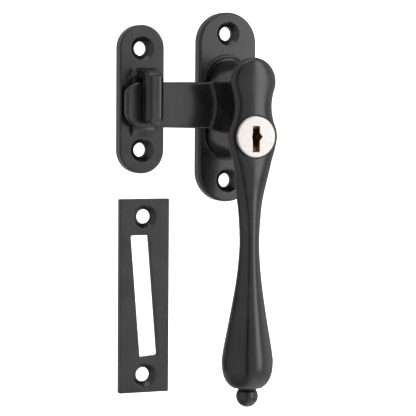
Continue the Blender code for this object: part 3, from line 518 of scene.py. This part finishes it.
handleShape = {"midOut": 28.3, "front": 2.7, "back": 1.1, "gripRadius": 3.6, "gripDrop": 48.0,
               "gripOut": 26.0, "pearRadius": 9.35, "pearDrop": 91.0, "pearOut": 25.0,
               "pearEnd": 11.45, "pearPower": 2.6, "ballRadius": 4.0, "ballNeck": 3.2,
               "ballSeat": 0.4, "discBore": 7.8, "discSeat": 29.2,
               "roundFrom": 0.72}   # the share of gripDrop at which the grip is fully round
# How far along each run a width is given, and the share of the run's change in width there
pearRun = ((0, 1), (0.1, 0.89), (0.3, 0.62), (0.6, 0.25), (0.8, 0.075), (1, 0))
headRun = ((0.7, 0.12), (0.46, 0.352), (0.23, 0.62), (0.1, 0.86), (0, 1))


def throughPoints(places, sizes, where):
    # A cubic Hermite curve through the stations; the slope at each is the rise between its two
    # neighbours over their distance
    places, sizes = np.asarray(places, float), np.asarray(sizes, float)
    slope = np.gradient(sizes, places)
    slope[1:-1] = (sizes[2:] - sizes[:-2]) / (places[2:] - places[:-2])
    i = np.clip(np.searchsorted(places, where, side="right") - 1, 0, len(places) - 2)
    span = places[i + 1] - places[i]
    t = (where - places[i]) / span
    return ((2 * t ** 3 - 3 * t ** 2 + 1) * sizes[i] + (t ** 3 - 2 * t ** 2 + t) * span * slope[i]
            + (3 * t ** 2 - 2 * t ** 3) * sizes[i + 1] + (t ** 3 - t ** 2) * span * slope[i + 1])


def handleHalfWidth(z, v=handleShape, d=drumShape):
    # The waisted head, a falling curve to the grip, a rising one to the pear, and a superellipse
    # end, pearRadius * (1 - (drop / pearEnd)^p)^(1 / p)
    leave = -lockDrop - 0.12 * d["lockRadius"]   # where the grip's curve leaves the head
    start = float(halfWidthAt(np.array(leave), 0.0))
    grip, low = v["gripRadius"], -v["pearDrop"]
    (pearShare, pearSize), (headShare, headSize) = np.array(pearRun).T, np.array(headRun).T
    places = np.concatenate((low + pearShare * (v["pearDrop"] - v["gripDrop"]),
                             leave - headShare * (v["gripDrop"] + leave)))
    sizes = grip + np.concatenate((pearSize * (v["pearRadius"] - grip),
                                   headSize * (start - grip)))
    middle = throughPoints(places, sizes, np.clip(z, low, leave))
    below = np.clip((low - z) / v["pearEnd"], 0, 1)
    end = v["pearRadius"] * (1 - below ** v["pearPower"]) ** (1 / v["pearPower"])
    return np.where(z >= leave, halfWidthAt(z, 0.0), np.where(z < low, end, middle))


def handleGrid(v=handleShape, d=drumShape, columns=128):
    # Sections of a superellipse |x / w|^p + |y / h|^p = 1. The head is flat behind and crowned in
    # front; below the drum both powers go to 2, so that the grip and the pear are round
    rise, lobe = d["lobeRise"], d["lobeRadius"]
    quarter = np.linspace(0, pi / 2 - 0.04, 40)[1:]
    z = np.concatenate((rise + lobe * np.cos(np.linspace(0.02, pi / 2, 40)),
                        np.linspace(rise, -v["gripDrop"], 150)[1:],
                        np.linspace(-v["gripDrop"], -v["pearDrop"], 80)[1:],
                        -v["pearDrop"] - v["pearEnd"] * np.sin(quarter)))
    wide = handleHalfWidth(z)
    cap = z > rise
    wide[cap] = np.sqrt(np.maximum(0.0, lobe ** 2 - (z[cap] - rise) ** 2))
    rounding = 1 - smoothStep(z, -v["gripDrop"] * v["roundFrom"], -lockDrop - d["lockRadius"])
    mid = v["midOut"] + (v["gripOut"] - v["midOut"]) * rounding
    mid += (v["pearOut"] - v["gripOut"]) * smoothStep(-z, v["gripDrop"], v["pearDrop"])
    deep = np.where(z < -v["gripDrop"], wide, v["gripRadius"])
    front = v["front"] + (deep - v["front"]) * rounding
    back = v["back"] + (deep - v["back"]) * rounding
    share = np.clip((z - rise) / lobe, 0, 1)   # both close in over the head's top
    front *= (1 - share ** 5) ** (1 / 5)
    back *= (1 - share ** 12) ** (1 / 12)
    a = np.linspace(0, 2 * pi, columns, endpoint=False)
    c, s = np.cos(a)[None], np.sin(a)[None]
    power = np.where(s >= 0, 2.0, (7.0 - 5.0 * rounding)[:, None])
    size = (np.abs(c) ** power + np.abs(s) ** power) ** (-1 / power)
    x = wide[:, None] * c * size
    out = mid[:, None] + np.where(s >= 0, front[:, None], back[:, None]) * s * size
    grid = np.stack((x, out, np.broadcast_to(z[:, None], x.shape)), -1)
    tip = np.broadcast_to((0.0, v["midOut"], rise + lobe), (1, columns, 3))
    # Where the pear has narrowed to the neck, the same rows go on round the collar and the ball
    radius, height = ballProfile(v)
    grid = grid[(z > height[0] + 0.1) | (z > -v["pearDrop"])]
    level = np.broadcast_to(height[:, None], (len(radius), columns))
    ball = np.stack((radius[:, None] * c, v["pearOut"] + radius[:, None] * s, level), -1)
    return np.concatenate((tip, grid, ball))


def ballProfile(v):
    # Radius and height: a flat collar bead, then the ball's arc from the neck to its foot
    bottom = -v["pearDrop"] - v["pearEnd"] + v["ballSeat"]
    r, neck = v["ballRadius"], v["ballNeck"]
    depth = sqrt(r ** 2 - neck ** 2)
    a = np.linspace(atan2(depth, neck), -pi / 2, 40)
    profile = [[neck - 0.35, bottom + 0.75]]
    profile += rounded(neck - 0.15, bottom + 0.3, 0.3, pi / 2, -pi / 2, 8)
    profile += np.column_stack((r * np.cos(a), bottom + r * np.sin(a) - depth)).tolist()[1:]
    radius, height = np.array(profile).T
    radius[-1] = 0.0
    return radius, height


def boreOut(piece, profile, x, z):
    # Cuts a stepped round bore into the piece with a Boolean, and keeps the result as its mesh
    cutter = Shape()
    ringCarry(cutter, x, z, profile, 96)
    tool = makePiece("bore_tool", "lever", coat, cutter)
    cut = piece.modifiers.new("bore", "BOOLEAN")
    cut.object, cut.solver = tool, "EXACT"
    bpy.context.view_layer.update()
    finished = piece.evaluated_get(bpy.context.evaluated_depsgraph_get())
    made = bpy.data.meshes.new_from_object(finished)
    piece.modifiers.clear()
    piece.data = made
    bpy.data.objects.remove(tool)


def makeHandle(v=handleShape):
    # The grid's rows, with a stepped bore for the disc and the lock's barrel
    shape = Shape()
    shape.addGrid(handleGrid())
    piece = makePiece("handle_casting", "lever", coat, shape, ["handle"])
    disc, seat, lock = v["discBore"], v["discSeat"], drumShape["lockBore"]
    ahead, behind = 36.0, 20.0   # past the head's front and back
    boreOut(piece, [[0.0, ahead], [disc, ahead], [disc, seat], [lock, seat], [lock, behind],
                    [0.0, behind]], 0.0, -lockDrop)


makeHandle()
print("handle done")


lockFace = {"radius": 7.5, "frontOut": 31.6, "backOut": 29.5, "edge": 0.5, "slotHalf": 1.3,
            "slotEdge": 0.12, "above": 3.8, "below": 5.4, "bulgeRight": 2.4, "bulgeLeft": 1.6,
            "bulgeTall": 1.4}


def keyholeOutline(grow, v=lockFace):
    # A slot with a pointed bulge at mid height on each side, anticlockwise
    half, tall = v["slotHalf"] + grow, v["bulgeTall"]
    high, low = v["above"] + grow, -v["below"] - grow
    right, left = v["bulgeRight"] + grow, -v["bulgeLeft"] - grow
    points = [(half, low), (half, -tall), (right, 0.0), (half, tall), (half, high),
              (-half, high), (-half, tall), (left, 0.0), (-half, -tall), (-half, low)]
    return np.array(points) + (0.0, -lockDrop)


def makeLockFace(v=lockFace):
    # A disc: side wall and quarter-round front edge carried round, the keyhole's walls through
    # it, and the flat front and back between them
    shape = Shape()
    e, front, back, roll = v["edge"], v["frontOut"], v["backOut"], v["slotEdge"]
    rim = v["radius"] - e - flatRun
    profile = [[v["radius"], back], [v["radius"], front - e - 0.2]]
    profile += rounded(v["radius"] - e, front - e, e, 0, pi / 2) + [[rim, front]]
    ringCarry(shape, 0.0, -lockDrop, profile, 96)
    rolled, plain = keyholeOutline(roll), keyholeOutline(0.0)
    addWall(shape, [rolled, plain, plain], (front, front - roll, back))
    flatFace(shape, [circle(0, -lockDrop, rim, 96), rolled], front)
    flatFace(shape, [circle(0, -lockDrop, v["radius"], 96), plain], back)
    makePiece("lock_face_disc", "plug", nickel, shape, ["lock_face"], sharp=30)


makeLockFace()
print("lock face done")


hookKeep = {"length": 54.0, "width": 17.0, "thick": 4.5, "edge": 0.55, "backEdge": 0.1,
            "x": -33.6, "z": 2.8, "screwHeight": 18.4, "bore": 2.6, "head": 4.25,
            "fingerX": -32.85, "fingerWide": 6.5, "fingerBack": 10.6, "fingerFront": 17.3,
            "fingerEdge": 1.9, "fingerEnd": 2.2, "low": -6.1, "bend": 3.4, "innerBend": 0.8,
            "webLow": 9.75, "top": 13.45, "cove": 3.0, "coveUp": 0.3, "rampWide": 8.5,
            "rampOut": 6.6, "rampFoot": -10.9, "rampLead": 2.3, "rampEdge": 0.35}


def bentBar(v):
    # A rounded section swept between two curves in the (z, out) plane: both go straight up, turn
    # a quarter (the outer one about a larger arc) and go straight back into the plate. The bar's
    # end shrinks by e - sqrt(e^2 - (e - q)^2), and near the plate its half width grows by a
    # cove's r - sqrt(r^2 - (r - h)^2), h being the height above the plate
    core, turn = roundedLoop(8, 8, 8)
    e, bend, inner, low = v["fingerEnd"], v["bend"], v["innerBend"], v["low"]
    tall, outerTall = v["webLow"] - inner - low, v["top"] - bend - low
    rise = np.concatenate((e * (1 - np.cos(np.linspace(0, pi / 2, 14))),
                           np.linspace(e, tall, 20)[1:]))
    a = np.linspace(0, pi / 2, 24)[1:]
    back = np.concatenate(([0.2], 0.4 + 0.6 * np.sin(np.linspace(0, pi / 2, 16))))
    plate = v["thick"] - 0.3

    def path(share, top, out, radius):
        # Up to the bend at this out, round its arc, then back along top to the plate
        flat = out - radius
        return np.concatenate((
            np.column_stack((low + rise * share, np.full(len(rise), out))),
            np.column_stack((top - radius + radius * np.sin(a), flat + radius * np.cos(a))),
            np.column_stack((np.full(len(back), top), flat + (plate - flat) * back))))

    innerPath = path(1.0, v["webLow"], v["fingerBack"], inner)
    outerPath = path(outerTall / tall, v["top"], v["fingerFront"], bend)
    across = outerPath - innerPath
    thick = np.linalg.norm(across, axis=1)
    across /= thick[:, None]
    shrink = np.zeros(len(innerPath))
    shrink[:len(rise)] = e - np.sqrt(np.maximum(0, e ** 2 - (e - np.clip(rise, 0, e)) ** 2))
    height = np.maximum(0, np.minimum(innerPath[:, 1], outerPath[:, 1]) - v["thick"])
    height[:len(rise) + len(a)] = v["cove"]
    flare = v["cove"] - np.sqrt(v["cove"] ** 2 - np.maximum(0, v["cove"] - height) ** 2)
    halfX = v["fingerWide"] / 2 - shrink + flare
    halfT = thick / 2 - shrink + v["coveUp"] * flare
    radius = np.minimum(v["fingerEdge"], 0.97 * np.minimum(halfX, halfT))
    middle = (innerPath + outerPath) / 2
    x = v["fingerX"] + (halfX - radius)[:, None] * core[:, 0] + radius[:, None] * turn[:, 0]
    along = (halfT - radius)[:, None] * core[:, 1] + radius[:, None] * turn[:, 1]
    z = middle[:, :1] + across[:, :1] * along
    out = middle[:, 1:] + across[:, 1:] * along
    return np.stack((x, out, z), -1)


def rampGrid(v):
    # A side profile (z, out) carried across. Over the last e at each side the sections drop by
    # e * (1 - sin a) while they come in by e * (1 - cos a), which rounds the long edges
    e, half, thick = v["rampEdge"], v["rampWide"] / 2, v["thick"]
    top, foot, lead, end = v["rampOut"], v["rampFoot"], v["rampFoot"] + v["rampLead"], v["webLow"]
    z, out = np.array([
        [foot - 0.6, thick - 0.3], [foot, thick - 0.05], [foot + 0.25, thick + 0.12],
        [lead - 0.3, top - 0.3], [lead, top - 0.08], [lead + 0.4, top], [lead + 3, top],
        [end - 3, top], [end + 1.0, top], [end + 1.0, thick - 0.5], [foot - 0.6, thick - 0.5]]).T
    a = np.linspace(0, pi / 2, 6)
    left, drop = -half + e * (1 - np.cos(a)), e * (1 - np.sin(a))
    x, less = np.concatenate((left, -left[::-1])), np.concatenate((drop, drop[::-1]))
    x, z = np.broadcast_arrays(v["x"] + x[:, None], z)
    return np.stack((x, out - less[:, None], z), -1)


def makeHookKeep(v=hookKeep):
    # A stadium plate with the bent finger and the ramp standing on it
    shape = Shape()
    outline = stadium(v["length"], v["width"], v["x"], v["z"])
    addPlate(shape, outline, v, v["x"], v["z"])
    shape.addCapped(bentBar(v))
    shape.addCapped(rampGrid(v))
    makePiece("hook_keep_casting", "hook", coat, shape, ["hook_keep"])


makeHookKeep()
print("hook keep done")


morticeKeep = {"length": 71.4, "width": 19.1, "thick": 2.5, "edge": 0.22, "backEdge": 0.08,
               "corner": 0.35, "x": -31.6, "z": -69.3, "screwHeight": 29.2, "bore": 2.6,
               "head": 4.25, "slotWide": 7.1, "slotTall": 44.8, "slotLean": radians(4.7),
               "slotCorner": 0.7, "slotEdge": 0.2, "slotBack": 0.1}


def roundedPolygon(corners, radius, steps=8):
    # Each corner of a convex anticlockwise polygon replaced by an arc that touches both sides:
    # its centre lies on the corner's bisector, radius / sin(half the angle) away
    points = []
    n = len(corners)
    for i in range(n):
        here, before, after = (np.array(corners[k % n], float) for k in (i, i - 1 + n, i + 1))
        b, a = before - here, after - here
        b, a = b / np.linalg.norm(b), a / np.linalg.norm(a)
        half = np.arccos(np.clip(b @ a, -1, 1)) / 2
        middle = here + (b + a) / np.linalg.norm(b + a) * radius / sin(half)
        first = here + b * radius / np.tan(half) - middle
        last = here + a * radius / np.tan(half) - middle
        start = atan2(first[1], first[0])
        turn = (atan2(last[1], last[0]) - start) % (2 * pi)
        points.append(arcPoints(middle[0], middle[1], radius, start, start + turn, steps))
    return np.concatenate(points)


def makeMorticeKeep(v=morticeKeep):
    # A square-cornered plate. The slot's sides lean, its foot is square to them and its top level
    shape = Shape()
    x, z, thick = v["x"], v["z"], v["thick"]
    w, h = v["width"] / 2, v["length"] / 2
    outline = roundedPolygon([(x + w, z - h), (x + w, z + h), (x - w, z + h), (x - w, z - h)],
                             v["corner"], 5)
    half, top = v["slotWide"] / 2, v["slotTall"] / 2
    shift, skew = top * np.tan(v["slotLean"]), half * sin(v["slotLean"])
    slot = roundedPolygon([(x + shift + half, z - top + skew), (x - shift + half, z + top),
                           (x - shift - half, z + top), (x + shift - half, z - top - skew)],
                          v["slotCorner"])
    normals = normalsOf(slot)
    e, foot = v["slotEdge"], v["slotBack"]
    edge = rounded(-e, thick - e, e, pi / 2, 0, 4)
    profile = [[-e - flatRun, thick]] + edge + [[0, foot], [-foot, 0.0], [-foot - flatRun, 0.0]]
    shape.addGrid(carry(slot, normals, profile))
    addPlate(shape, outline, v, x, z, [slot + (e + flatRun) * normals],
             [slot + (foot + flatRun) * normals])
    makePiece("mortice_keep_plate", "mortice", coat, shape, ["mortice_keep"])


makeMorticeKeep()
print("mortice keep done")


# Sizes and places in metres, and angles in degrees to the right of straight ahead
studio = {"aim": (-0.01, -0.02, -0.045),
          "floorDrop": 0.16, "floorHalf": 4.0, "sweepAt": 1.2, "sweep": 0.8, "wallTop": 5.0,
          "paper": "#f2f2f2", "paperRoughness": 0.9, "paperGlow": 0.8,
          "fill": 0.60, "fillBehind": 0.40, "belowLeft": 0.5, "belowRight": 1.9,
          "key": 3.9, "keySide": 34.2, "keyFar": 1.2, "keyRise": 0.12, "keySize": (0.48, 1.1),
          "right": 0.8, "rightPlace": (0.9, -0.1, 0.1), "rightSize": (0.8, 1.0),
          "top": 1.4, "topPlace": (-0.05, -0.35, 0.85), "topSize": (0.7, 0.5),
          "cardSide": -22.5, "cardFar": 0.8, "cardSize": (0.19, 1.2)}


def stagePiece(name, mesh, material):
    # Something of the studio's, which isn't part of the object
    mesh.materials.append(material)
    thing = bpy.data.objects.new(name, mesh)
    bpy.context.scene.collection.objects.link(thing)
    return thing


def areaLight(name, place, target, size, power):
    # A rectangular softbox that faces its target and isn't seen itself
    light = bpy.data.lights.new(name, "AREA")
    light.shape, light.size, light.size_y = "RECTANGLE", size[0], size[1]
    light.energy = power
    lamp = bpy.data.objects.new(name, light)
    bpy.context.scene.collection.objects.link(lamp)
    lamp.location = place
    lamp.visible_camera = False
    lamp.rotation_euler = (Vector(target) - Vector(place)).to_track_quat("-Z", "Y").to_euler()


def blackCard(centre, v):
    # A tall narrow black card behind the camera, which draws the dark line down the handle
    turn = radians(v["cardSide"])
    across, ahead = Vector((cos(turn), sin(turn), 0)), Vector((sin(turn), -cos(turn), 0))
    wide, tall = v["cardSize"]
    mesh = bpy.data.meshes.new("black_card")
    corners = [centre + v["cardFar"] * ahead + u * wide / 2 * across + Vector((0, 0, w * tall / 2))
               for u, w in ((-1, -1), (1, -1), (1, 1), (-1, 1))]
    mesh.from_pydata([tuple(c) for c in corners], [], [(0, 1, 2, 3)])
    # Black felt: swallows nearly all light
    felt, _ = newMaterial("blackFelt", [("Base Color", linear("#080808")), ("Roughness", 1.0)])
    stagePiece("black_card", mesh, felt).visible_camera = False


def paperSweep(v):
    # A flat floor, a quarter turn of radius sweep and an upright wall, carried across
    half, drop, sweep = v["floorHalf"], -v["floorDrop"], v["sweep"]
    path = np.concatenate(([[-half, drop]],
                           arcPoints(v["sweepAt"], drop + sweep, sweep, -pi / 2, 0, 23),
                           [[v["sweepAt"] + sweep, v["wallTop"]]]))
    grid = np.array([np.column_stack((np.full(len(path), side), path)) for side in (-half, half)])
    mesh = bpy.data.meshes.new("floor")
    mesh.from_pydata(grid.reshape(-1, 3).tolist(), [], gridFaces(2, len(path), False))
    mesh.shade_smooth()
    # Matte white paper, evenly lit: white to the camera, and without a shine
    paper, _ = newMaterial("matteWhitePaper", [
        ("Base Color", linear(v["paper"])), ("Roughness", v["paperRoughness"]),
        ("Emission Color", linear("#ffffff")), ("Emission Strength", v["paperGlow"])])
    stagePiece("floor", mesh, paper).visible_glossy = False


def roomLight(v):
    # Even light from the room, falling away behind the plates. From below it is darker on the
    # left and lighter on the right, as from a lit table beside a dark one
    world = bpy.data.worlds.new("studio")
    bpy.context.scene.world = world
    world.use_nodes = True
    background = world.node_tree.nodes["Background"]
    background.inputs["Color"].default_value = linear("#ffffff")
    way = addNode(world, "ShaderNodeTexCoord").outputs["Generated"]
    split = addNode(world, "ShaderNodeSeparateXYZ", [("Vector", way)]).outputs
    fall = addNode(world, "ShaderNodeMapRange", [("Value", split["Y"])],
                   fromTo((-0.05, 0.45), (v["fill"], v["fillBehind"])))
    side = addNode(world, "ShaderNodeMapRange", [("Value", split["X"])],
                   fromTo((-0.25, 0.15), (v["belowLeft"], v["belowRight"])))
    below = addNode(world, "ShaderNodeMapRange", [("Value", split["Z"])],
                    fromTo((-0.35, -0.75), (0.0, 1.0)))
    blend = addNode(world, "ShaderNodeMix", [(0, below.outputs["Result"]),
                                             (3, side.outputs["Result"])], [(2, 1.0)])
    total = addNode(world, "ShaderNodeMath", [(0, fall.outputs["Result"]),
                                              (1, blend.outputs[0])], operation="MULTIPLY")
    join(world, total.outputs["Value"], background, "Strength")


def makeStudio(v=studio):
    # The paper and the room's light, then a tall key, the black card, a side and a top softbox
    paperSweep(v)
    roomLight(v)
    centre, turn = Vector(v["aim"]), radians(v["keySide"])
    keyPlace = centre + v["keyFar"] * Vector((sin(turn), -cos(turn), v["keyRise"]))
    areaLight("key_softbox", keyPlace, centre, v["keySize"], v["key"])
    blackCard(centre, v)
    areaLight("right_softbox", v["rightPlace"], centre, v["rightSize"], v["right"])
    areaLight("top_softbox", v["topPlace"], centre, v["topSize"], v["top"])


# The place in millimetres, the angles in degrees; the lens goes with a sensor 36 mm wide
camera = {"place": (-261.93, -634.22, 6.72), "azimuth": -22.0, "pitch": -3.7, "roll": 0.4,
          "lens": 159.23, "sensor": 36.0, "clip": (0.01, 50)}


def makeCamera(v=camera):
    # Looks along the azimuth and the pitch, then is rolled about that line
    data = bpy.data.cameras.new("camera")
    data.sensor_width, data.lens = v["sensor"], v["lens"]
    data.clip_start, data.clip_end = v["clip"]
    thing = bpy.data.objects.new("camera", data)
    bpy.context.scene.collection.objects.link(thing)
    a, p, r = radians(-v["azimuth"]), radians(v["pitch"]), radians(v["roll"])
    forward = Vector((sin(a) * cos(p), cos(a) * cos(p), sin(p)))
    right = Vector((cos(a), -sin(a), 0.0))
    up = right.cross(forward)
    rightRolled, upRolled = cos(r) * right + sin(r) * up, cos(r) * up - sin(r) * right
    turn = Matrix((rightRolled, upRolled, -forward)).transposed()
    thing.matrix_world = Matrix.Translation(Vector(v["place"]) * mm) @ turn.to_4x4()
    bpy.context.scene.camera = thing


makeStudio()
makeCamera()
bpy.context.scene.view_settings.view_transform = "Standard"
print("studio and camera done")
